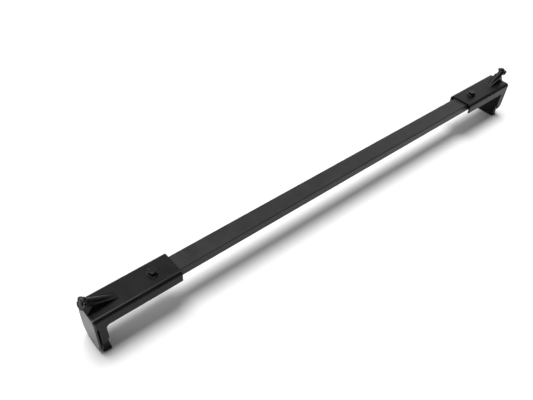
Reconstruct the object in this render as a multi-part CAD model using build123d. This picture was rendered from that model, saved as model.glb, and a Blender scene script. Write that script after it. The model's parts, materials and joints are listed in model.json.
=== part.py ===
"""Adjustable cargo bar that spans a truck bed, with a screw clamp at each end.

Frame: X runs along the bar, Y runs fore and aft, Z is up, and the origin is on the
ground plane under the middle of the bar, where the two clamp feet rest.
All sizes are in millimetres. Each half is drawn for the +X end and mirrored for -X.
"""

from build123d import *
from math import cos, radians, sin
import os

# ---- driving dimensions -------------------------------------------------------------

TUBE_WIDTH = 50.8
TUBE_HEIGHT = 25.4
TUBE_WALL = 2.0
TUBE_CORNER = 2.4
TUBE_INNER_CORNER = 0.8
TUBE_TOP = 119.0
TUBE_HALF_LENGTH = 683.0

SHEET = 4.0
CHANNEL_WIDTH = 78.0
CHANNEL_BEND = 9.0
CHANNEL_INNER_END = 565.0
CHANNEL_OUTER_END = 786.4
SLIDE_LINER = 1.0

END_PLATE_WIDTH = 78.0
END_PLATE_BOTTOM = 1.5

LEG_INNER_X = 763.5
LEG_OUTER_X = 781.9
LEG_BOTTOM = 36.0
LEG_CORNER_CUT = (8.0, 13.0)

CLAMP_ANGLE = 30.0
CLAMP_ENTRY_X = 735.0
CLAMP_BOLT_RADIUS = 5.0
GUIDE_RADIUS = 9.5
GUIDE_WALL = 2.5
GUIDE_REACH = (-8.0, 53.0)

KNOB_RADIUS = 16.5
KNOB_LENGTH = 8.0
KNOB_LOBES = 5

JAW_SHEET = 5.0
JAW_WIDTH = 68.0
JAW_INNER_X = 766.5
JAW_HEEL_X = 761.5
JAW_TOE_X = 782.0

PAD = 1.5
JAW_PAD = 1.4

LOCK_X = 621.0
LOCK_RADIUS = 6.0
EXTENSION = 35.0

GAP = 0.3
RUNNING_FIT = 0.06

# ---- derived places ------------------------------------------------------------------

TUBE_BOTTOM = TUBE_TOP - TUBE_HEIGHT
TUBE_MIDDLE = TUBE_TOP - TUBE_HEIGHT / 2
CHANNEL_UNDER = TUBE_TOP + SLIDE_LINER
CHANNEL_TOP = CHANNEL_UNDER + SHEET
CHANNEL_BOTTOM = TUBE_BOTTOM
CHANNEL_INSIDE = CHANNEL_WIDTH / 2 - SHEET
END_PLATE_FACE = CHANNEL_OUTER_END + SHEET


def along_screw(distance, lift=0.0):
    """Point in the XZ plane: distance outboard along the clamp screw, lift square to it."""
    slope = radians(CLAMP_ANGLE)
    x = CLAMP_ENTRY_X + distance * cos(slope) - lift * sin(slope)
    z = CHANNEL_TOP + distance * sin(slope) + lift * cos(slope)
    return x, z


def screw_plane(distance):
    """Plane square to the clamp screw, facing outboard, at this distance along it."""
    x, z = along_screw(distance)
    slope = radians(CLAMP_ANGLE)
    return Plane(origin=(x, 0, z), x_dir=(0, 1, 0), z_dir=(cos(slope), 0, sin(slope)))


def screw_rod(start, end, radius):
    """Round bar on the clamp screw's axis between two distances."""
    return extrude(screw_plane(start) * Circle(radius), end - start)


def side_profile(points, near, far):
    """Closed XZ outline given as (x, z) points, extruded from y = near to y = far."""
    outline = Polyline(*[(x, near, z) for x, z in points], close=True)
    face = Face(Wire(outline.edges()))
    return extrude(face, far - near, dir=(0, 1, 0))


def block(x, y, z):
    """Box between the two ends given for each axis."""
    size = (x[1] - x[0], y[1] - y[0], z[1] - z[0])
    middle = ((x[0] + x[1]) / 2, (y[0] + y[1]) / 2, (z[0] + z[1]) / 2)
    return Pos(*middle) * Box(*size)


def post(x, radius, bottom, top):
    """Upright round bar."""
    upward = (Align.CENTER, Align.CENTER, Align.MIN)
    return Pos(x, 0, bottom) * Cylinder(radius, top - bottom, align=upward)


def slot_cut(start, end, radius, bottom, top):
    """Upright cutter for a slot with round ends whose length runs along X."""
    middle = (start + end) / 2
    outline = Pos(middle, 0, bottom) * SlotOverall(end - start, 2 * radius)
    return extrude(outline, top - bottom, dir=(0, 0, 1))


# ---- cross tube ------------------------------------------------------------------------

SLOT_SLACK = 0.5
SLOT_RADIUS = LOCK_RADIUS + SLOT_SLACK
SLOT_START = LOCK_X - SLOT_RADIUS - SLOT_SLACK
SLOT_END = LOCK_X + EXTENSION + SLOT_RADIUS + SLOT_SLACK
PLUG_HEAD = 3.0
PLUG_HEAD_ROUND = 1.0
PLUG_DEPTH = 9.0
PLUG_CORE_STEP = 1.5
PLUG_RIB = 2.0
PLUG_RIB_PITCH = 5.0


def cross_tube():
    """Rectangular tube with one adjusting slot in its top wall near each end."""
    outside = RectangleRounded(TUBE_WIDTH, TUBE_HEIGHT, TUBE_CORNER)
    inside = RectangleRounded(TUBE_WIDTH - 2 * TUBE_WALL, TUBE_HEIGHT - 2 * TUBE_WALL, TUBE_INNER_CORNER)
    middle = Plane(origin=(0, 0, TUBE_MIDDLE), x_dir=(0, 1, 0), z_dir=(1, 0, 0))
    tube = extrude(middle * (outside - inside), TUBE_HALF_LENGTH, both=True)
    for side in (-1, 1):
        start, end = sorted((side * SLOT_START, side * SLOT_END))
        tube -= slot_cut(start, end, SLOT_RADIUS, TUBE_TOP - 2 * TUBE_WALL, TUBE_TOP + TUBE_WALL)
    return tube


def tube_plug():
    """Moulded plug that closes the tube's end: a flat head and a ribbed core."""
    face = Plane(origin=(TUBE_HALF_LENGTH, 0, TUBE_MIDDLE), x_dir=(0, 1, 0), z_dir=(1, 0, 0))
    head = extrude(face * RectangleRounded(TUBE_WIDTH, TUBE_HEIGHT, TUBE_CORNER), PLUG_HEAD)
    head = fillet(head.faces().sort_by(Axis.X)[-1].edges(), PLUG_HEAD_ROUND)
    bore_width = TUBE_WIDTH - 2 * TUBE_WALL
    bore_height = TUBE_HEIGHT - 2 * TUBE_WALL
    core_outline = Rectangle(bore_width - 2 * PLUG_CORE_STEP, bore_height - 2 * PLUG_CORE_STEP)
    core = extrude(face * core_outline, -PLUG_DEPTH)
    rib = extrude(face * RectangleRounded(bore_width, bore_height, TUBE_INNER_CORNER), -PLUG_RIB)
    ribs = [rib, Pos(-PLUG_RIB_PITCH, 0, 0) * rib]
    return head + core + ribs


# ---- end bracket, fixed pieces ------------------------------------------------------------

LOCK_HOLE = LOCK_RADIUS + RUNNING_FIT
GUIDE_SLOT = (716.0, 754.5)
GUIDE_SLOT_RADIUS = GUIDE_RADIUS + 0.2
GUIDE_CUT_REACH = 60.0
CHANNEL_TAIL_ROUND = 2.5
END_PLATE_ROUND = 0.8


def channel():
    """Folded top channel that slides over the tube's end, its flanges turned down as legs outboard."""
    outer = block((CHANNEL_INNER_END, CHANNEL_OUTER_END), (-CHANNEL_WIDTH / 2, CHANNEL_WIDTH / 2),
                  (CHANNEL_BOTTOM, CHANNEL_TOP))
    outer = fillet(outer.edges().filter_by(Axis.X).group_by(Axis.Z)[-1], CHANNEL_BEND)
    inner = block((CHANNEL_INNER_END - 1, CHANNEL_OUTER_END + 1), (-CHANNEL_INSIDE, CHANNEL_INSIDE),
                  (CHANNEL_BOTTOM - 1, CHANNEL_UNDER))
    inner = fillet(inner.edges().filter_by(Axis.X).group_by(Axis.Z)[-1], CHANNEL_BEND - SHEET)
    shell = outer - inner
    shell -= post(LOCK_X, LOCK_HOLE, CHANNEL_UNDER - 1, CHANNEL_TOP + 1)
    shell -= slot_cut(*GUIDE_SLOT, GUIDE_SLOT_RADIUS, CHANNEL_UNDER - 1, CHANNEL_TOP + 1)
    shell -= screw_rod(-GUIDE_CUT_REACH, GUIDE_CUT_REACH, GUIDE_SLOT_RADIUS)
    lower_corners = shell.edges().filter_by(Axis.Y).group_by(Axis.Z)[0].group_by(Axis.X)[0]
    shell = fillet(lower_corners, CHANNEL_TAIL_ROUND)
    leg = channel_leg()
    return shell + leg + mirror(leg, about=Plane.XZ)


def channel_leg():
    """Part of the near flange that reaches down beside the jaw, with its lower corner cut off."""
    cut_x, cut_z = LEG_CORNER_CUT
    outline = [(LEG_INNER_X, CHANNEL_BOTTOM + 1), (LEG_OUTER_X, CHANNEL_BOTTOM + 1),
               (LEG_OUTER_X, LEG_BOTTOM), (LEG_INNER_X + cut_x, LEG_BOTTOM),
               (LEG_INNER_X, LEG_BOTTOM + cut_z)]
    return side_profile(outline, -CHANNEL_WIDTH / 2, -CHANNEL_INSIDE)


def end_plate():
    """Outer plate with a half-round lower end, the fixed half of the clamp."""
    radius = END_PLATE_WIDTH / 2
    centre = END_PLATE_BOTTOM + radius
    plate = block((CHANNEL_OUTER_END, END_PLATE_FACE), (-radius, radius), (centre, CHANNEL_TOP))
    plate = fillet(plate.edges().filter_by(Axis.X).group_by(Axis.Z)[-1], CHANNEL_BEND)
    face = Plane(origin=(CHANNEL_OUTER_END, 0, centre), x_dir=(0, 1, 0), z_dir=(1, 0, 0))
    plate += extrude(face * Circle(radius), SHEET)
    return fillet(plate.faces().sort_by(Axis.X)[-1].edges(), END_PLATE_ROUND)


def guide_tube():
    """Sloping tube, welded through the channel's slot, that the clamp screw runs in."""
    start, end = GUIDE_REACH
    tube = screw_rod(start, end, GUIDE_RADIUS)
    return tube - screw_rod(start - 1, end + 1, GUIDE_RADIUS - GUIDE_WALL)


SADDLE_SHEET = 2.5
SADDLE_PEAK = (772.0, 148.0)
SADDLE_ENDS = (714.0, 789.0)
SADDLE_FIT = 0.05


def guide_saddle():
    """Folded hood on the channel's top: a sloping roof, two cheeks and an end around the tube."""
    half = GUIDE_SLOT_RADIUS + SADDLE_SHEET
    nose_x, end_x = SADDLE_ENDS
    peak_x, peak_z = SADDLE_PEAK
    slope = (peak_z - CHANNEL_TOP) / (peak_x - nose_x)
    below = CHANNEL_TOP - 1
    inner_peak_x = peak_x - SADDLE_SHEET
    inner_peak_z = peak_z - SADDLE_SHEET * (1 + slope)
    inner_nose_x = inner_peak_x - (inner_peak_z - below) / slope
    solid = side_profile([(nose_x, CHANNEL_TOP), (end_x, CHANNEL_TOP), SADDLE_PEAK], -half, half)
    hollow = [(inner_nose_x, below), (end_x - 2 * SADDLE_SHEET, below), (inner_peak_x, inner_peak_z)]
    solid -= side_profile(hollow, -GUIDE_SLOT_RADIUS, GUIDE_SLOT_RADIUS)
    return solid - screw_rod(GUIDE_REACH[0], 2 * GUIDE_CUT_REACH, GUIDE_RADIUS + SADDLE_FIT)


RING = 4.0
RING_CHAMFER = 0.8


def guide_ring():
    """Bearing ring on the guide tube's end that locates the clamp screw."""
    end = GUIDE_REACH[1]
    ring = screw_rod(end, end + RING, GUIDE_RADIUS)
    ring -= screw_rod(end - 1, end + RING + 1, CLAMP_BOLT_RADIUS + RUNNING_FIT)
    outer_edge = ring.edges().filter_by(GeomType.CIRCLE).group_by(SortBy.LENGTH)[-1].sort_by(Axis.X)[-1]
    return chamfer(outer_edge, RING_CHAMFER)


PLATE_PAD_MARGIN = 3.0


def plate_pad():
    """Rubber face on the inside of the end plate, opposite the jaw."""
    radius = END_PLATE_WIDTH / 2 - PLATE_PAD_MARGIN
    centre = END_PLATE_BOTTOM + END_PLATE_WIDTH / 2
    face = Plane(origin=(CHANNEL_OUTER_END, 0, centre), x_dir=(0, 1, 0), z_dir=(1, 0, 0))
    pad = extrude(face * Circle(radius), -PAD)
    keep = block((CHANNEL_OUTER_END - PAD, CHANNEL_OUTER_END), (-radius, radius), (0, LEG_BOTTOM - 1))
    return pad & keep


GLIDE_REACH = (CHANNEL_INNER_END + 14, CHANNEL_INNER_END + 104)
GLIDE_RIB = 3.0
GLIDE_POCKETS = 4
GLIDE_LIFT = 3.0
GLIDE_HEAD_ROOM = 5.0
TOP_GLIDE_WIDTH = 44.0
TOP_GLIDE_GAP = 0.1
TOP_GLIDE_HOLE = LOCK_RADIUS + 1.5


def side_glides():
    """Nylon strips between the tube's sides and the channel's flanges."""
    near_face = TUBE_WIDTH / 2 + GAP
    bottom = TUBE_BOTTOM + GLIDE_LIFT
    top = TUBE_TOP - GLIDE_HEAD_ROOM
    body = block(GLIDE_REACH, (near_face, CHANNEL_INSIDE), (bottom, top))
    pitch = (GLIDE_REACH[1] - GLIDE_REACH[0]) / GLIDE_POCKETS
    for index in range(GLIDE_POCKETS):
        start = GLIDE_REACH[0] + index * pitch + GLIDE_RIB / 2
        end = start + pitch - GLIDE_RIB
        body -= block((start, end), (near_face + GLIDE_RIB, CHANNEL_INSIDE - GLIDE_RIB), (bottom - 1, top - GLIDE_RIB))
    return [body, mirror(body, about=Plane.XZ)]


def top_glide():
    """Thin nylon strip between the tube's top and the channel."""
    half = TOP_GLIDE_WIDTH / 2
    strip = block(GLIDE_REACH, (-half, half), (TUBE_TOP + TOP_GLIDE_GAP, CHANNEL_UNDER))
    return strip - post(LOCK_X, TOP_GLIDE_HOLE, TUBE_TOP - 1, CHANNEL_UNDER + 1)


NUT_PLATE = 6.0
NUT_PLATE_LENGTH = 30.0
NUT_PLATE_WIDTH = 42.0
NUT_PLATE_CORNER = 4.0
NUT_PLATE_DROP = 0.4
NUT_PLATE_TOP = TUBE_TOP - TUBE_WALL - NUT_PLATE_DROP


def nut_plate():
    """Threaded plate inside the tube that the lock bolt pulls up against the top wall."""
    half_length = NUT_PLATE_LENGTH / 2
    half_width = NUT_PLATE_WIDTH / 2
    plate = block((LOCK_X - half_length, LOCK_X + half_length), (-half_width, half_width),
                  (NUT_PLATE_TOP - NUT_PLATE, NUT_PLATE_TOP))
    plate = chamfer(plate.edges().filter_by(Axis.Z), NUT_PLATE_CORNER)
    return plate - post(LOCK_X, LOCK_HOLE, 0, NUT_PLATE_TOP + 1)


# ---- moving jaw ---------------------------------------------------------------------------

JAW_KNEE = 84.0
JAW_NUT = (-27.0, -13.0)
JAW_NUT_RADIUS = 7.0
FOOT_SHOULDER = (775.5, 34.0)
FOOT_NECK = (JAW_INNER_X + JAW_SHEET, 45.0)
FOOT_SKIN = 5.0
ARM_REACH = 0.82
ARM_TAPER = (746.0, 730.0)
ARM_TIP_WIDTH = 16.0


def jaw_arm():
    """Sloping arm from the knee to the threaded boss, narrowing once it is in the channel."""
    boss_x, boss_z = along_screw(sum(JAW_NUT) / 2)
    tip_x = JAW_INNER_X + (boss_x - JAW_INNER_X) * ARM_REACH
    tip_z = JAW_KNEE + (boss_z - JAW_KNEE) * ARM_REACH
    half_sheet = JAW_SHEET / 2 / cos(radians(CLAMP_ANGLE))
    outer_x = JAW_INNER_X + JAW_SHEET
    outline = [(outer_x, JAW_KNEE - half_sheet), (outer_x, JAW_KNEE), (tip_x, tip_z + half_sheet),
               (tip_x, tip_z - half_sheet), (JAW_INNER_X, JAW_KNEE - 2 * half_sheet)]
    arm = side_profile(outline, -JAW_WIDTH / 2, JAW_WIDTH / 2)
    wide_x, narrow_x = ARM_TAPER
    for side in (-1, 1):
        inner_y = side * ARM_TIP_WIDTH / 2
        outer_y = side * JAW_WIDTH
        corner = Polyline((wide_x, outer_y), (wide_x, side * JAW_WIDTH / 2), (narrow_x, inner_y),
                          (tip_x - 20, inner_y), (tip_x - 20, outer_y), close=True)
        cutter = Pos(0, 0, FOOT_NECK[1]) * Face(Wire(corner.edges()))
        arm -= extrude(cutter, CHANNEL_TOP, dir=(0, 0, 1))
    return arm - screw_rod(*JAW_NUT, JAW_NUT_RADIUS)


def jaw():
    """Bent plate jaw: upright web, folded foot with two gussets, and the arm to the screw."""
    half = JAW_WIDTH / 2
    neck_x, neck_z = FOOT_NECK
    web = block((JAW_INNER_X, JAW_INNER_X + JAW_SHEET), (-half, half), (neck_z, JAW_KNEE))
    foot_outline = [(JAW_HEEL_X, 0), (JAW_TOE_X, 0), FOOT_SHOULDER, FOOT_NECK, (JAW_INNER_X, neck_z)]
    foot = side_profile(foot_outline, -half, half)
    shoulder_x, shoulder_z = FOOT_SHOULDER
    hollow_outline = [(JAW_HEEL_X + FOOT_SKIN, -1), (JAW_TOE_X - FOOT_SKIN, -1),
                      (shoulder_x - FOOT_SKIN, shoulder_z - FOOT_SKIN / 2),
                      (neck_x - FOOT_SKIN / 2, neck_z - FOOT_SKIN)]
    foot -= side_profile(hollow_outline, SHEET - half, half - SHEET)
    return web + foot + jaw_arm()


PAD_MARGIN = 1.0
PAD_SHOULDER_DROP = 2.0


def jaw_pad():
    """Rubber face on the foot, between the shoulder and the toe."""
    half = JAW_WIDTH / 2 - PAD_MARGIN
    shoulder_x, shoulder_z = FOOT_SHOULDER
    lean = (JAW_TOE_X - shoulder_x) / shoulder_z
    low = (JAW_TOE_X - lean * PAD_MARGIN, PAD_MARGIN)
    high = (shoulder_x + lean * PAD_SHOULDER_DROP, shoulder_z - PAD_SHOULDER_DROP)
    outline = [low, high, (high[0] + JAW_PAD, high[1]), (low[0] + JAW_PAD, low[1])]
    return side_profile(outline, -half, half)


def jaw_nut():
    """Threaded boss on the arm's end that the clamp screw runs through."""
    boss = screw_rod(*JAW_NUT, JAW_NUT_RADIUS)
    return boss - screw_rod(JAW_NUT[0] - 1, JAW_NUT[1] + 1, CLAMP_BOLT_RADIUS + RUNNING_FIT)


# ---- clamp screw and knob -------------------------------------------------------------------

SCREW_TIP = -43.0
SCREW_TIP_CHAMFER = 1.0
RING_FACE = GUIDE_REACH[1] + RING
WASHER_RADIUS = 9.5
WASHER = (RING_FACE + 0.1, RING_FACE + 1.1)
KNOB_START = WASHER[1] + 0.1
KNOB_END = KNOB_START + KNOB_LENGTH
KNOB_CORE = 0.74 * KNOB_RADIUS
KNOB_LOBE = 0.30 * KNOB_RADIUS
KNOB_NECK_ROUND = 1.5
KNOB_EDGE = 1.0
CAP_RADIUS = 0.45 * KNOB_RADIUS
CAP_DEPTH = 3.0
CAP_RISE = 1.2
CAP_ROUND = 1.1
CLIP = (GUIDE_REACH[1] - 2.3, GUIDE_REACH[1] - GAP)
CLIP_RADIUS = GUIDE_RADIUS - GUIDE_WALL - 0.4


def clamp_screw():
    """Long screw from the knob down to the jaw's threaded boss."""
    screw = screw_rod(SCREW_TIP, KNOB_END - CAP_DEPTH, CLAMP_BOLT_RADIUS)
    return chamfer(screw.edges().filter_by(GeomType.CIRCLE).sort_by(Axis.X)[0], SCREW_TIP_CHAMFER)


def screw_washer():
    """Plain washer between the knob and the bearing ring."""
    return screw_rod(*WASHER, WASHER_RADIUS) - screw_rod(WASHER[0] - 1, WASHER[1] + 1, CLAMP_BOLT_RADIUS)


def screw_clip():
    """Collar pinned to the screw inside the guide tube, which stops it pulling out."""
    return screw_rod(*CLIP, CLIP_RADIUS) - screw_rod(CLIP[0] - 1, CLIP[1] + 1, CLAMP_BOLT_RADIUS)


def knob():
    """Lobed hand knob moulded round the screw's end."""
    outline = Circle(KNOB_CORE)
    for index in range(KNOB_LOBES):
        turn = 90 + index * 360 / KNOB_LOBES
        outline += Rot(0, 0, turn) * Pos(KNOB_RADIUS - KNOB_LOBE, 0) * Circle(KNOB_LOBE)
    outline = fillet(outline.vertices(), KNOB_NECK_ROUND)
    body = extrude(screw_plane(KNOB_START) * outline, KNOB_LENGTH)
    ends = body.faces().filter_by(GeomType.PLANE).sort_by(Axis.X)
    body = chamfer(ends[-1].edges(), KNOB_EDGE)
    body -= screw_rod(KNOB_START - 1, KNOB_END - CAP_DEPTH, CLAMP_BOLT_RADIUS)
    return body - screw_rod(KNOB_END - CAP_DEPTH, KNOB_END + 1, CAP_RADIUS)


def knob_cap():
    """Domed cover over the screw's end in the knob."""
    cap = screw_rod(KNOB_END - CAP_DEPTH, KNOB_END + CAP_RISE, CAP_RADIUS)
    rim = cap.edges().filter_by(GeomType.CIRCLE).sort_by(Axis.X)[-1]
    return fillet(rim, CAP_ROUND)


# ---- lock bolt --------------------------------------------------------------------------------

LOCK_WASHER = 2.0
LOCK_WASHER_RADIUS = 14.0
LOCK_WASHER_CHAMFER = 0.6
LOCK_HEAD_ACROSS = 19.0
LOCK_HEAD = 10.2
LOCK_HEAD_CHAMFER = 1.6
LOCK_FLANGE = 2.2
LOCK_FLANGE_RADIUS = 12.5
LOCK_FLANGE_CHAMFER = 1.2
LOCK_TIP = 3.0


def lock_washer():
    """Captive flat washer under the lock bolt's head."""
    ring = post(LOCK_X, LOCK_WASHER_RADIUS, CHANNEL_TOP, CHANNEL_TOP + LOCK_WASHER)
    ring = chamfer(ring.edges().filter_by(GeomType.CIRCLE).sort_by(Axis.Z)[-1], LOCK_WASHER_CHAMFER)
    return ring - post(LOCK_X, LOCK_HOLE, CHANNEL_TOP - 1, CHANNEL_TOP + LOCK_WASHER + 1)


def lock_bolt():
    """Flanged hex bolt that clamps the channel to the tube through the slot."""
    seat = CHANNEL_TOP + LOCK_WASHER
    shank = post(LOCK_X, LOCK_RADIUS, NUT_PLATE_TOP - NUT_PLATE - LOCK_TIP, seat + LOCK_FLANGE)
    flange = post(LOCK_X, LOCK_FLANGE_RADIUS, seat, seat + LOCK_FLANGE)
    flange = chamfer(flange.edges().filter_by(GeomType.CIRCLE).sort_by(Axis.Z)[-1], LOCK_FLANGE_CHAMFER)
    corner_radius = LOCK_HEAD_ACROSS / 2 / cos(radians(30))
    head = extrude(Pos(LOCK_X, 0, seat) * RegularPolygon(corner_radius, 6), LOCK_HEAD, dir=(0, 0, 1))
    crown = post(LOCK_X, corner_radius, seat, seat + LOCK_HEAD)
    crown = chamfer(crown.edges().sort_by(Axis.Z)[-1], LOCK_HEAD_CHAMFER)
    return shank + flange + (head & crown)


# ---- assembly -----------------------------------------------------------------------------------

END_PIECES = {
    "tube_plug": tube_plug,
    "channel": channel,
    "end_plate": end_plate,
    "guide_tube": guide_tube,
    "guide_saddle": guide_saddle,
    "guide_ring": guide_ring,
    "plate_pad": plate_pad,
    "side_glides": side_glides,
    "top_glide": top_glide,
    "nut_plate": nut_plate,
    "jaw": jaw,
    "jaw_pad": jaw_pad,
    "jaw_nut": jaw_nut,
    "clamp_screw": clamp_screw,
    "screw_washer": screw_washer,
    "screw_clip": screw_clip,
    "knob": knob,
    "knob_cap": knob_cap,
    "lock_washer": lock_washer,
    "lock_bolt": lock_bolt,
}


def as_compound(pieces):
    """One shape from one solid or from a list of separate solids."""
    if isinstance(pieces, list):
        return Compound(children=[Compound(piece.solids()) for piece in pieces])
    return pieces


def main():
    os.makedirs("parts", exist_ok=True)
    export_step(cross_tube(), "parts/cross_tube.step")
    for name, make in END_PIECES.items():
        right = as_compound(make())
        export_step(right, f"parts/right_{name}.step")
        export_step(mirror(right, about=Plane.YZ), f"parts/left_{name}.step")


main()
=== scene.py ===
"""Looks for the bed cargo bar: materials, formed pieces, studio floor, lights and camera.

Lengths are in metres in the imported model's frame: X along the bar, Y across it, Z up,
with the floor at Z = 0 under the two jaw feet.
"""

import json
from math import cos, pi, radians, sin, sqrt

import bmesh
import bpy
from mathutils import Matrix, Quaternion, Vector


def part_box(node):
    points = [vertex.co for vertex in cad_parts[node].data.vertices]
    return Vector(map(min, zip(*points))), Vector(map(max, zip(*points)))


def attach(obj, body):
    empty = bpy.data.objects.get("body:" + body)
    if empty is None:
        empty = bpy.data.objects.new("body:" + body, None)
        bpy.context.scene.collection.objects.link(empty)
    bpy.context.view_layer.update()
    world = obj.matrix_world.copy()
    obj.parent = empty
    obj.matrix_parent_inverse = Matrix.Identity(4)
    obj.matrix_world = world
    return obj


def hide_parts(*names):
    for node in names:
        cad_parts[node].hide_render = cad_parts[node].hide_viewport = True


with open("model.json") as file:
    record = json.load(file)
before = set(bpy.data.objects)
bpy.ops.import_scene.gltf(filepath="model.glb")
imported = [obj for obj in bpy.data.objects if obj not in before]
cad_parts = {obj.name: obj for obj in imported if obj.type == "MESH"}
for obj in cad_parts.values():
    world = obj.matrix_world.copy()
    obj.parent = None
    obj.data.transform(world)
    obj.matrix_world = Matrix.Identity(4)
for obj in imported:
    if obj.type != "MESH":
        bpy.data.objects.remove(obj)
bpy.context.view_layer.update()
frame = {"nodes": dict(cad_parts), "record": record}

MM = 0.001
SIDES = {"left": -1, "right": 1}

# Clamp screw: it slopes up and outboard, and meets the channel's top at SCREW_ENTRY.
SCREW_SLOPE = radians(30)
SCREW_ENTRY_X = 0.735
SCREW_RADIUS = 5.0 * MM
SCREW_PITCH = 1.5 * MM
CHANNEL_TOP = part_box("right_channel")[1].z

# Camera: where it stands, the point it looks at, and how far it leans to its left.
CAMERA_PLACE = Vector((-0.9844, -0.7521, 1.1517))
CAMERA_TARGET = Vector((-0.2400, 0.0458, 0.1000))
CAMERA_LEAN = radians(4.106)
CAMERA_LENS = 38.13
CAMERA_SENSOR = 36.0


# ---- helpers ---------------------------------------------------------------------------


def link(obj):
    bpy.context.scene.collection.objects.link(obj)
    return obj


def piece_from(name, bm, material, body, smooth=True):
    """Mesh object from a bmesh, with its material, riding on a CAD body."""
    mesh = bpy.data.meshes.new(name)
    bmesh.ops.recalc_face_normals(bm, faces=bm.faces)
    bm.to_mesh(mesh)
    bm.free()
    for polygon in mesh.polygons:
        polygon.use_smooth = smooth
    obj = link(bpy.data.objects.new(name, mesh))
    mesh.materials.append(material)
    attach(obj, body)
    return obj


def screw_frame(side):
    """Axes of the clamp screw on this side: its entry point, its direction, and the two square to it."""
    sign = SIDES[side]
    entry = Vector((sign * SCREW_ENTRY_X, 0, CHANNEL_TOP))
    along = Vector((sign * cos(SCREW_SLOPE), 0, sin(SCREW_SLOPE)))
    across = Vector((0, sign, 0))
    lift = Vector((-sign * sin(SCREW_SLOPE), 0, cos(SCREW_SLOPE)))
    return entry, along, across, lift


def distance_on_screw(side, node):
    """First and last distance of a CAD node's vertices along the clamp screw."""
    entry, along, _, _ = screw_frame(side)
    places = [(vertex.co - entry).dot(along) for vertex in frame["nodes"][node].data.vertices]
    return min(places), max(places)


def distance_from_screw(side, node):
    """Greatest distance of a CAD node's vertices from the clamp screw's axis."""
    entry, along, _, _ = screw_frame(side)
    return max((vertex.co - entry).cross(along).length for vertex in frame["nodes"][node].data.vertices)


def revolved(bm, origin, axes, profile, steps, radius_at=None):
    """Surface turned about an axis. profile holds (distance, radius) pairs, and radius_at may
    change each radius with the angle. The two ends close to a point on the axis."""
    along, across, lift = axes
    rings = []
    for distance, radius in profile:
        ring = []
        for index in range(steps):
            angle = 2 * pi * index / steps
            size = radius_at(radius, angle, distance) if radius_at else radius
            place = origin + along * distance + (across * cos(angle) + lift * sin(angle)) * size
            ring.append(bm.verts.new(place))
        rings.append(ring)
    for low, high in zip(rings, rings[1:]):
        for index in range(steps):
            after = (index + 1) % steps
            bm.faces.new((low[index], low[after], high[after], high[index]))
    for ring, distance in ((rings[0], profile[0][0]), (rings[-1], profile[-1][0])):
        centre = bm.verts.new(origin + along * distance)
        for index in range(steps):
            bm.faces.new((ring[index], ring[(index + 1) % steps], centre))


# ---- materials --------------------------------------------------------------------------


class Nodes:
    """Small helper that adds and links shader nodes in one material."""

    def __init__(self, name):
        self.material = bpy.data.materials.new(name)
        self.material.use_nodes = True
        self.tree = self.material.node_tree
        self.tree.nodes.clear()
        self.output = self.tree.nodes.new("ShaderNodeOutputMaterial")
        self.shader = self.add("ShaderNodeBsdfPrincipled")
        self.join(self.shader.outputs["BSDF"], self.output.inputs["Surface"])
        self.place = self.add("ShaderNodeTexCoord").outputs["Object"]

    def add(self, kind, **values):
        node = self.tree.nodes.new(kind)
        for key, value in values.items():
            setattr(node, key, value)
        return node

    def join(self, start, end):
        self.tree.links.new(start, end)

    def noise(self, size, detail=2.0, roughness=0.5, stretch=(1, 1, 1)):
        """Noise whose grain is about size metres across."""
        mapping = self.add("ShaderNodeMapping")
        mapping.inputs["Scale"].default_value = stretch
        self.join(self.place, mapping.inputs["Vector"])
        node = self.add("ShaderNodeTexNoise")
        node.inputs["Scale"].default_value = 1 / size
        node.inputs["Detail"].default_value = detail
        node.inputs["Roughness"].default_value = roughness
        self.join(mapping.outputs["Vector"], node.inputs["Vector"])
        return node.outputs["Fac"]

    def spread(self, value, low, high, out_low=0.0, out_high=1.0):
        node = self.add("ShaderNodeMapRange", clamp=True)
        node.inputs["From Min"].default_value = low
        node.inputs["From Max"].default_value = high
        node.inputs["To Min"].default_value = out_low
        node.inputs["To Max"].default_value = out_high
        self.join(value, node.inputs["Value"])
        return node.outputs["Result"]

    def math(self, operation, first, second):
        node = self.add("ShaderNodeMath", operation=operation)
        for socket, value in zip(node.inputs, (first, second)):
            if isinstance(value, (int, float)):
                socket.default_value = value
            else:
                self.join(value, socket)
        return node.outputs["Value"]

    def mix(self, amount, first, second):
        """Colour between two colours, by amount."""
        node = self.add("ShaderNodeMix", data_type="RGBA")
        self.join(amount, node.inputs["Factor"])
        for socket, value in ((node.inputs[6], first), (node.inputs[7], second)):
            if isinstance(value, tuple):
                socket.default_value = (*value, 1)
            else:
                self.join(value, socket)
        return node.outputs[2]

    def edges(self, radius):
        """Rounded normal, and a mask that is high on sharp convex and concave edges."""
        bevel = self.add("ShaderNodeBevel", samples=8)
        bevel.inputs["Radius"].default_value = radius
        true_normal = self.add("ShaderNodeNewGeometry").outputs["Normal"]
        dot = self.add("ShaderNodeVectorMath", operation="DOT_PRODUCT")
        self.join(bevel.outputs["Normal"], dot.inputs[0])
        self.join(true_normal, dot.inputs[1])
        return bevel.outputs["Normal"], self.spread(dot.outputs["Value"], 0.985, 0.86)

    def bump(self, height, distance, normal=None, strength=1.0):
        node = self.add("ShaderNodeBump")
        node.inputs["Distance"].default_value = distance
        node.inputs["Strength"].default_value = strength
        self.join(height, node.inputs["Height"])
        if normal is not None:
            self.join(normal, node.inputs["Normal"])
        return node.outputs["Normal"]

    def finish(self, colour, roughness, normal, **plain):
        """Connects the varying inputs and sets the plain ones on the shader's own sockets."""
        self.join(colour, self.shader.inputs["Base Color"])
        self.join(roughness, self.shader.inputs["Roughness"])
        self.join(normal, self.shader.inputs["Normal"])
        for key, value in plain.items():
            self.shader.inputs[key.replace("_", " ")].default_value = value
        return self.material


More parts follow.
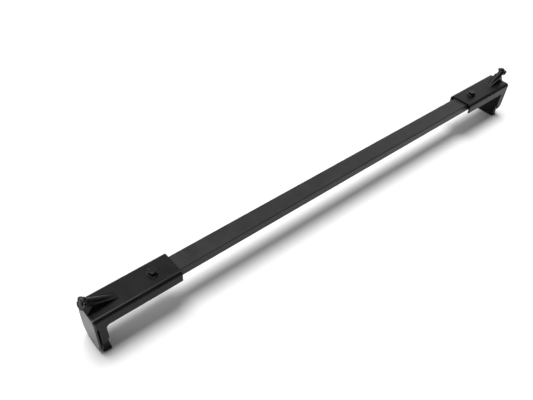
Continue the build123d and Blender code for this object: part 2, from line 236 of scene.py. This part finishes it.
def powder_coat(name, colour, gloss, shine=0.3, grain=0.9 * MM, depth=0.010 * MM, edge=0.7 * MM):
    """Black powder coat: fine orange peel, cloudy gloss, faint dust, and paler rubbed edges."""
    cloud_size = 38 * MM
    speck_size = 0.55 * MM
    scuff_size = 9 * MM
    wear_size = 4 * MM
    wear_strength = 0.7
    speck_strength = 0.25
    scuff_roughness = 0.06
    wear_roughness = 0.08
    nodes = Nodes(name)
    rounded, edge_mask = nodes.edges(edge)
    peel = nodes.noise(grain, detail=3)
    cloud = nodes.noise(cloud_size, detail=4, roughness=0.6)
    speck = nodes.spread(nodes.noise(speck_size, detail=1), 0.70, 0.78)
    streaks = nodes.noise(scuff_size, detail=6, roughness=0.75, stretch=(0.25, 1, 1))
    scuff = nodes.spread(streaks, 0.62, 0.72)
    worn = nodes.math("MULTIPLY", edge_mask, nodes.spread(nodes.noise(wear_size, detail=5), 0.35, 0.75))
    pale = tuple(channel * 2.0 + 0.006 for channel in colour)
    dusty = tuple(channel * 1.4 + 0.001 for channel in colour)
    base = nodes.mix(nodes.spread(cloud, 0.35, 0.70), colour, dusty)
    base = nodes.mix(nodes.math("MULTIPLY", worn, wear_strength), base, pale)
    base = nodes.mix(nodes.math("MULTIPLY", speck, speck_strength), base, pale)
    rough = nodes.spread(cloud, 0.3, 0.7, gloss - 0.03, gloss + 0.04)
    rough = nodes.math("ADD", rough, nodes.math("MULTIPLY", scuff, scuff_roughness))
    rough = nodes.math("ADD", rough, nodes.math("MULTIPLY", worn, wear_roughness))
    normal = nodes.bump(peel, depth, rounded)
    return nodes.finish(base, rough, normal, IOR=1.45, Specular_IOR_Level=shine)


def moulded_plastic(name, colour, gloss):
    """Moulded plastic with a fine spark-eroded grain and slightly polished edges."""
    nodes = Nodes(name)
    rounded, edge_mask = nodes.edges(0.5 * MM)
    grain = nodes.noise(0.45 * MM, detail=2)
    cloud = nodes.noise(12 * MM, detail=3)
    lighter = tuple(channel * 1.7 + 0.003 for channel in colour)
    base = nodes.mix(nodes.spread(cloud, 0.35, 0.65), colour, lighter)
    rough = nodes.spread(cloud, 0.3, 0.7, gloss - 0.04, gloss + 0.05)
    rough = nodes.math("SUBTRACT", rough, nodes.math("MULTIPLY", edge_mask, 0.05))
    normal = nodes.bump(grain, 0.012 * MM, rounded)
    return nodes.finish(base, rough, normal, IOR=1.49, Specular_IOR_Level=0.3)


def rubber(name, colour):
    """Matt rubber with a fine pebble and pale bloom in patches."""
    nodes = Nodes(name)
    rounded, _ = nodes.edges(0.6 * MM)
    pebble = nodes.noise(0.7 * MM, detail=3)
    bloom = nodes.spread(nodes.noise(7 * MM, detail=5, roughness=0.65), 0.48, 0.72)
    paler = tuple(channel * 2.2 + 0.006 for channel in colour)
    base = nodes.mix(bloom, colour, paler)
    rough = nodes.spread(bloom, 0, 1, 0.62, 0.78)
    normal = nodes.bump(pebble, 0.03 * MM, rounded)
    return nodes.finish(base, rough, normal, IOR=1.5)


def plated_steel(name, colour, gloss):
    """Plated or oiled steel: drawn streaks, soft tone changes, brighter rubbed edges."""
    drawn = (0.12, 1, 1)
    nodes = Nodes(name)
    rounded, edge_mask = nodes.edges(0.35 * MM)
    lines = nodes.noise(0.5 * MM, detail=3, stretch=drawn)
    cloud = nodes.noise(6 * MM, detail=4)
    bright = tuple(min(1.0, channel * 1.8 + 0.03) for channel in colour)
    base = nodes.mix(nodes.spread(cloud, 0.3, 0.7, 0, 0.5), colour, bright)
    base = nodes.mix(nodes.math("MULTIPLY", edge_mask, 0.5), base, bright)
    rough = nodes.spread(lines, 0.3, 0.7, gloss - 0.05, gloss + 0.07)
    normal = nodes.bump(lines, 0.006 * MM, rounded)
    return nodes.finish(base, rough, normal, Metallic=0.9)


MATERIALS = {
    "bar_paint": powder_coat("bar_powder_coat", (0.0155, 0.0151, 0.0150), 0.36, 0.24),
    "bracket_paint": powder_coat("bracket_powder_coat", (0.0046, 0.0044, 0.0044), 0.34, 0.17),
    "jaw_paint": powder_coat("jaw_powder_coat", (0.0060, 0.0058, 0.0060), 0.42, 0.11),
    "black_hardware": powder_coat(
        "black_zinc_hardware", (0.0030, 0.0030, 0.0031), 0.24, 0.35, grain=0.5 * MM, depth=0.004 * MM
    ),
    "screw_steel": plated_steel("oiled_screw_steel", (0.055, 0.054, 0.052), 0.34),
    "zinc_steel": plated_steel("zinc_plated_steel", (0.42, 0.42, 0.41), 0.36),
    "knob_plastic": moulded_plastic("knob_plastic", (0.0012, 0.0012, 0.0012), 0.20),
    "plug_plastic": moulded_plastic("plug_plastic", (0.0090, 0.0090, 0.0090), 0.45),
    "glide_nylon": moulded_plastic("glide_nylon", (0.0120, 0.0120, 0.0120), 0.42),
    "pad_rubber": rubber("pad_rubber", (0.0100, 0.0100, 0.0096)),
}

# Some bracket pieces wear a copy of the black coat in another tone and gloss that stands in for light,
# not a different paint.
# Darker copy: painted shade on the hood, guide tube, guide ring and weld beads.
GUIDE_PAINTED_SHADE_COAT = powder_coat("guide_painted_shade_coat", (0.0040, 0.0039, 0.0041), 0.30, 0.12)
# Lighter copy: painted reflection of the floor on the end plate.
PLATE_PAINTED_REFLECTION_COAT = powder_coat("plate_painted_reflection_coat", (0.0180, 0.0175, 0.0170), 0.32, 0.33)
PAINTED_LIGHT_COATS = {
    "guide_saddle": GUIDE_PAINTED_SHADE_COAT,
    "guide_tube": GUIDE_PAINTED_SHADE_COAT,
    "guide_ring": GUIDE_PAINTED_SHADE_COAT,
    "end_plate": PLATE_PAINTED_REFLECTION_COAT,
}


def finish_cad_nodes():
    """Gives each carried-over CAD node its coat of painted shade or painted reflection, or the material
    of its record slot.
    """
    slot_of = {row["node"]: row["material_slot"] for row in frame["record"]["subparts"]}
    for name, node in frame["nodes"].items():
        kind = name.partition("_")[2]
        material = PAINTED_LIGHT_COATS.get(kind, MATERIALS[slot_of[name]])
        if not node.material_slots:
            node.data.materials.append(material)
        for holder in node.material_slots:
            holder.material = material


# ---- formed pieces --------------------------------------------------------------------------

KNOB_LOBES = 5
KNOB_STEPS = 120
LOBE_DEPTH = 0.30
LOBE_ROUNDNESS = 0.7
# The formed knob is a little smaller than its CAD node, so that its lobes stay inside the CAD box.
KNOB_TRIM = 0.955
ARC_STEPS = 5

# Shares of the knob's radius, from the hub out to the shoulder and in again to the dished face.
HUB_RADIUS = 0.62
SHOULDER_RADIUS = 0.90
BACK_ROUNDING = 0.05
FACE_ROUNDING = 0.07
FACE_RADIUS = 0.72
DISH_RADIUS = 0.64
DISH_FLOOR_RADIUS = 0.5
LOBES_FROM = 0.66
LOBES_BLEND = 0.20

# Shares of the knob's length.
HUB_LENGTH = 0.10
SHOULDER_PLACE = 0.12
RIM_PLACE = 0.14
RIM_LENGTH = 0.16
DISH_DEPTH = 0.10
DISH_FLOOR_DEPTH = 0.12


def quarter_turn(steps):
    """Evenly spaced angles from nothing to a right angle."""
    return [pi / 2 * index / steps for index in range(steps + 1)]


def lobed(radius, angle, _distance):
    """Radius of the knob's outline: round lobes with narrow valleys between them."""
    wave = abs(cos(KNOB_LOBES * angle / 2))
    return radius * (1 - LOBE_DEPTH * (1 - wave ** LOBE_ROUNDNESS))


def add_knob(side):
    """Lobed knob with a rounded rim, a dished face and a stepped hub on its inner side."""
    entry, along, across, lift = screw_frame(side)
    start, end = distance_on_screw(side, f"{side}_knob")
    reach = KNOB_TRIM * distance_from_screw(side, f"{side}_knob")
    length = end - start
    rim = RIM_LENGTH * length
    profile = [
        (start, HUB_RADIUS * reach),
        (start + HUB_LENGTH * length, HUB_RADIUS * reach),
        (start + SHOULDER_PLACE * length, SHOULDER_RADIUS * reach),
    ]
    for turn in quarter_turn(ARC_STEPS):
        distance = start + RIM_PLACE * length + rim * (1 - cos(turn))
        profile.append((distance, reach * (1 - BACK_ROUNDING * (1 - sin(turn)))))
    for turn in quarter_turn(ARC_STEPS):
        distance = end - rim * (1 - sin(turn))
        profile.append((distance, reach * (1 - FACE_ROUNDING * (1 - cos(turn)))))
    profile += [
        (end, FACE_RADIUS * reach),
        (end - DISH_DEPTH * length, DISH_RADIUS * reach),
        (end - DISH_FLOOR_DEPTH * length, DISH_FLOOR_RADIUS * reach),
    ]
    bm = bmesh.new()
    revolved(bm, entry, (along, lift, across), profile, KNOB_STEPS, knob_section(reach))
    piece = piece_from(f"{side}_hand_knob", bm, MATERIALS["knob_plastic"], f"{side}_knob")
    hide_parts(f"{side}_knob")


def knob_section(reach):
    """Radius rule: lobes near the rim that fade out toward the hub."""

    def rule(radius, angle, distance):
        blend = min(1.0, max(0.0, (radius / reach - LOBES_FROM) / LOBES_BLEND))
        return radius * (1 - blend) + lobed(radius, angle, distance) * blend

    return rule


CAP_STEPS = 48
CAP_ARC_STEPS = 8
CAP_FOOT = 0.96
CAP_DOME = 0.4


def add_knob_cap(side):
    """Domed cap over the screw's end."""
    entry, along, across, lift = screw_frame(side)
    node = f"{side}_knob_cap"
    start, end = distance_on_screw(side, node)
    radius = distance_from_screw(side, node)
    rise = CAP_DOME * (end - start)
    profile = [(start, radius * CAP_FOOT), (end - rise, radius)]
    for turn in quarter_turn(CAP_ARC_STEPS)[1:-1]:
        profile.append((end - rise + rise * sin(turn), radius * cos(turn)))
    bm = bmesh.new()
    revolved(bm, entry, (along, lift, across), profile, CAP_STEPS)
    piece = piece_from(f"{side}_domed_cap", bm, MATERIALS["knob_plastic"], f"{side}_knob")
    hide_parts(node)


THREAD_STEPS = 24
THREAD_DEPTH = 0.55 * MM
RINGS_PER_TURN = 8
TIP_SHARE = 0.86
TAPER_TURNS = 2


def add_threaded_screw(side):
    """Clamp screw with a real helical thread."""
    entry, along, across, lift = screw_frame(side)
    start, end = distance_on_screw(side, f"{side}_clamp_screw")
    rings = int((end - start) / SCREW_PITCH * RINGS_PER_TURN)
    taper = TAPER_TURNS * SCREW_PITCH

    def rule(_radius, angle, distance):
        turn = (distance - start) / SCREW_PITCH - angle / (2 * pi)
        depth = THREAD_DEPTH * abs(2 * (turn % 1) - 1)
        ends = min(1.0, (distance - start) / taper)
        return SCREW_RADIUS * (TIP_SHARE + (1 - TIP_SHARE) * ends) - depth * ends

    profile = [(start + (end - start) * index / rings, SCREW_RADIUS) for index in range(rings + 1)]
    bm = bmesh.new()
    revolved(bm, entry, (along, across, lift), profile, THREAD_STEPS, rule)
    piece = piece_from(f"{side}_threaded_screw", bm, MATERIALS["screw_steel"], f"{side}_knob")
    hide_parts(f"{side}_clamp_screw")


# ---- weld beads ------------------------------------------------------------------------------

BEAD_RADIUS = 1.5 * MM
BEAD_PITCH = 2.2 * MM
BEAD_SIDES = 10
RINGS_PER_RIPPLE = 5
FEWEST_RINGS = 4
RIPPLE_DEPTH = 0.18
END_SHARPNESS = 16
END_LEAST = 0.06
BEAD_MARGIN = 2 * MM
BEAD_LIFT = 0.2 * MM
PLATE_BEAD_INSET = 7 * MM
PLATE_BEAD_TOP = 12 * MM
PLATE_BEAD_BOTTOM = 32 * MM


def bead_along(bm, path):
    """Rippled round bead swept along a list of points."""
    lengths = [0.0]
    for first, second in zip(path, path[1:]):
        lengths.append(lengths[-1] + (second - first).length)
    total = lengths[-1]
    count = max(FEWEST_RINGS, int(total / BEAD_PITCH * RINGS_PER_RIPPLE))
    rings = []
    for index in range(count + 1):
        distance = total * index / count
        segment = max(i for i, length in enumerate(lengths[:-1]) if length <= distance + 1e-9)
        first, second = path[segment], path[segment + 1]
        ahead = (second - first).normalized()
        centre = first + ahead * (distance - lengths[segment])
        side = ahead.cross(Vector((0, 0, 1)))
        if side.length < 0.1:
            side = ahead.cross(Vector((1, 0, 0)))
        side.normalize()
        up = side.cross(ahead)
        ripple = 1 - RIPPLE_DEPTH + RIPPLE_DEPTH * abs(sin(pi * distance / BEAD_PITCH))
        ends = sqrt(max(END_LEAST, 1 - (2 * distance / total - 1) ** END_SHARPNESS))
        radius = BEAD_RADIUS * ripple * ends
        ring = []
        for k in range(BEAD_SIDES):
            angle = 2 * pi * k / BEAD_SIDES
            ring.append(bm.verts.new(centre + (side * cos(angle) + up * sin(angle)) * radius))
        rings.append(ring)
    for low, high in zip(rings, rings[1:]):
        for k in range(BEAD_SIDES):
            after = (k + 1) % BEAD_SIDES
            bm.faces.new((low[k], low[after], high[after], high[k]))
    bm.faces.new(rings[0])
    bm.faces.new(list(reversed(rings[-1])))


def add_weld_beads(side):
    """Beads along both feet of the hood, and upright beads on the end plate's inner face."""
    sign = SIDES[side]
    low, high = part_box(f"{side}_guide_saddle")
    inner_x, outer_x = sorted((low.x, high.x), key=abs)
    foot_z = CHANNEL_TOP + BEAD_LIFT
    bm = bmesh.new()
    for edge_y in (low.y, high.y):
        first = Vector((inner_x + sign * BEAD_MARGIN, edge_y, foot_z))
        last = Vector((outer_x - sign * 3 * BEAD_MARGIN, edge_y, foot_z))
        bead_along(bm, [first, last])
    plate_low, plate_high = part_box(f"{side}_end_plate")
    plate_x = min((plate_low.x, plate_high.x), key=abs)
    for edge_y in (plate_low.y + PLATE_BEAD_INSET, plate_high.y - PLATE_BEAD_INSET):
        first = Vector((plate_x, edge_y, CHANNEL_TOP - PLATE_BEAD_BOTTOM))
        last = Vector((plate_x, edge_y, CHANNEL_TOP - PLATE_BEAD_TOP))
        bead_along(bm, [first, last])
    # The beads wear the darker coat of painted shade.
    piece = piece_from(f"{side}_weld_beads", bm, GUIDE_PAINTED_SHADE_COAT, f"{side}_bracket")


# ---- studio ---------------------------------------------------------------------------------


FLOOR_REACH = 30
FLOOR_DROP = 0.2 * MM
FLOOR_MOTTLE = 0.25
FLOOR_DARKER = (0.835, 0.835, 0.835)
FLOOR_LIGHTER = (0.85, 0.85, 0.85)


def add_floor():
    """Wide pale floor with a hint of mottle."""
    bm = bmesh.new()
    bmesh.ops.create_grid(bm, x_segments=1, y_segments=1, size=FLOOR_REACH)
    mesh = bpy.data.meshes.new("studio_floor")
    bm.to_mesh(mesh)
    bm.free()
    floor = link(bpy.data.objects.new("studio_floor", mesh))
    floor.location = (0, 0, -FLOOR_DROP)
    nodes = Nodes("studio_floor")
    mottle = nodes.noise(FLOOR_MOTTLE, detail=3)
    colour = nodes.mix(nodes.spread(mottle, 0.3, 0.7), FLOOR_DARKER, FLOOR_LIGHTER)
    rough = nodes.spread(mottle, 0.3, 0.7, 0.75, 0.85)
    normal = nodes.bump(mottle, 0.01 * MM)
    floor.data.materials.append(nodes.finish(colour, rough, normal, Specular_IOR_Level=0.1))


SKY_BACK = 1.00
SKY_FRONT = 0.05
SKY_OVERHEAD = 0.30
KEY_POWER = 3.15
KEY_SIZE = radians(28)
KEY_TILT = radians(-9)


def ramp(tree, value, low, high, out_low, out_high):
    """Smooth step from one value to another."""
    node = tree.nodes.new("ShaderNodeMapRange")
    node.interpolation_type = "SMOOTHSTEP"
    node.inputs["From Min"].default_value = low
    node.inputs["From Max"].default_value = high
    node.inputs["To Min"].default_value = out_low
    node.inputs["To Max"].default_value = out_high
    tree.links.new(value, node.inputs["Value"])
    return node.outputs["Result"]


def add_sky():
    """Dome that is bright low down on the bar's +Y side, dimmer overhead, and dark on its -Y side."""
    world = bpy.data.worlds.new("studio")
    bpy.context.scene.world = world
    world.use_nodes = True
    tree = world.node_tree
    background = tree.nodes["Background"]
    background.inputs["Color"].default_value = (1, 1, 1, 1)
    coordinates = tree.nodes.new("ShaderNodeTexCoord")
    split = tree.nodes.new("ShaderNodeSeparateXYZ")
    tree.links.new(coordinates.outputs["Generated"], split.inputs["Vector"])
    around = ramp(tree, split.outputs["Y"], -0.25, 0.30, SKY_FRONT, SKY_BACK)
    upward = ramp(tree, split.outputs["Z"], 0.60, 0.92, 1.0, SKY_OVERHEAD)
    product = tree.nodes.new("ShaderNodeMath")
    product.operation = "MULTIPLY"
    tree.links.new(around, product.inputs[0])
    tree.links.new(upward, product.inputs[1])
    tree.links.new(product.outputs["Value"], background.inputs["Strength"])


def add_key():
    """Large soft key, almost overhead."""
    lamp = bpy.data.lights.new("key", "SUN")
    lamp.energy = KEY_POWER
    lamp.angle = KEY_SIZE
    key = link(bpy.data.objects.new("key", lamp))
    key.location = (0, 0.3, 2.5)
    key.rotation_euler = (KEY_TILT, 0, 0)


def add_camera():
    lens = bpy.data.cameras.new("camera")
    lens.lens = CAMERA_LENS
    lens.sensor_width = CAMERA_SENSOR
    lens.clip_start = 0.05
    lens.clip_end = 200
    camera = link(bpy.data.objects.new("camera", lens))
    look = (CAMERA_TARGET - CAMERA_PLACE).normalized()
    upright = look.to_track_quat("-Z", "Y")
    camera.rotation_mode = "QUATERNION"
    camera.rotation_quaternion = Quaternion(look, -CAMERA_LEAN) @ upright
    camera.location = CAMERA_PLACE
    bpy.context.scene.camera = camera


finish_cad_nodes()
for side in SIDES:
    add_knob(side)
    add_knob_cap(side)
    add_threaded_screw(side)
    add_weld_beads(side)
add_floor()
add_sky()
add_key()
add_camera()
bpy.context.scene.view_settings.view_transform = "Standard"
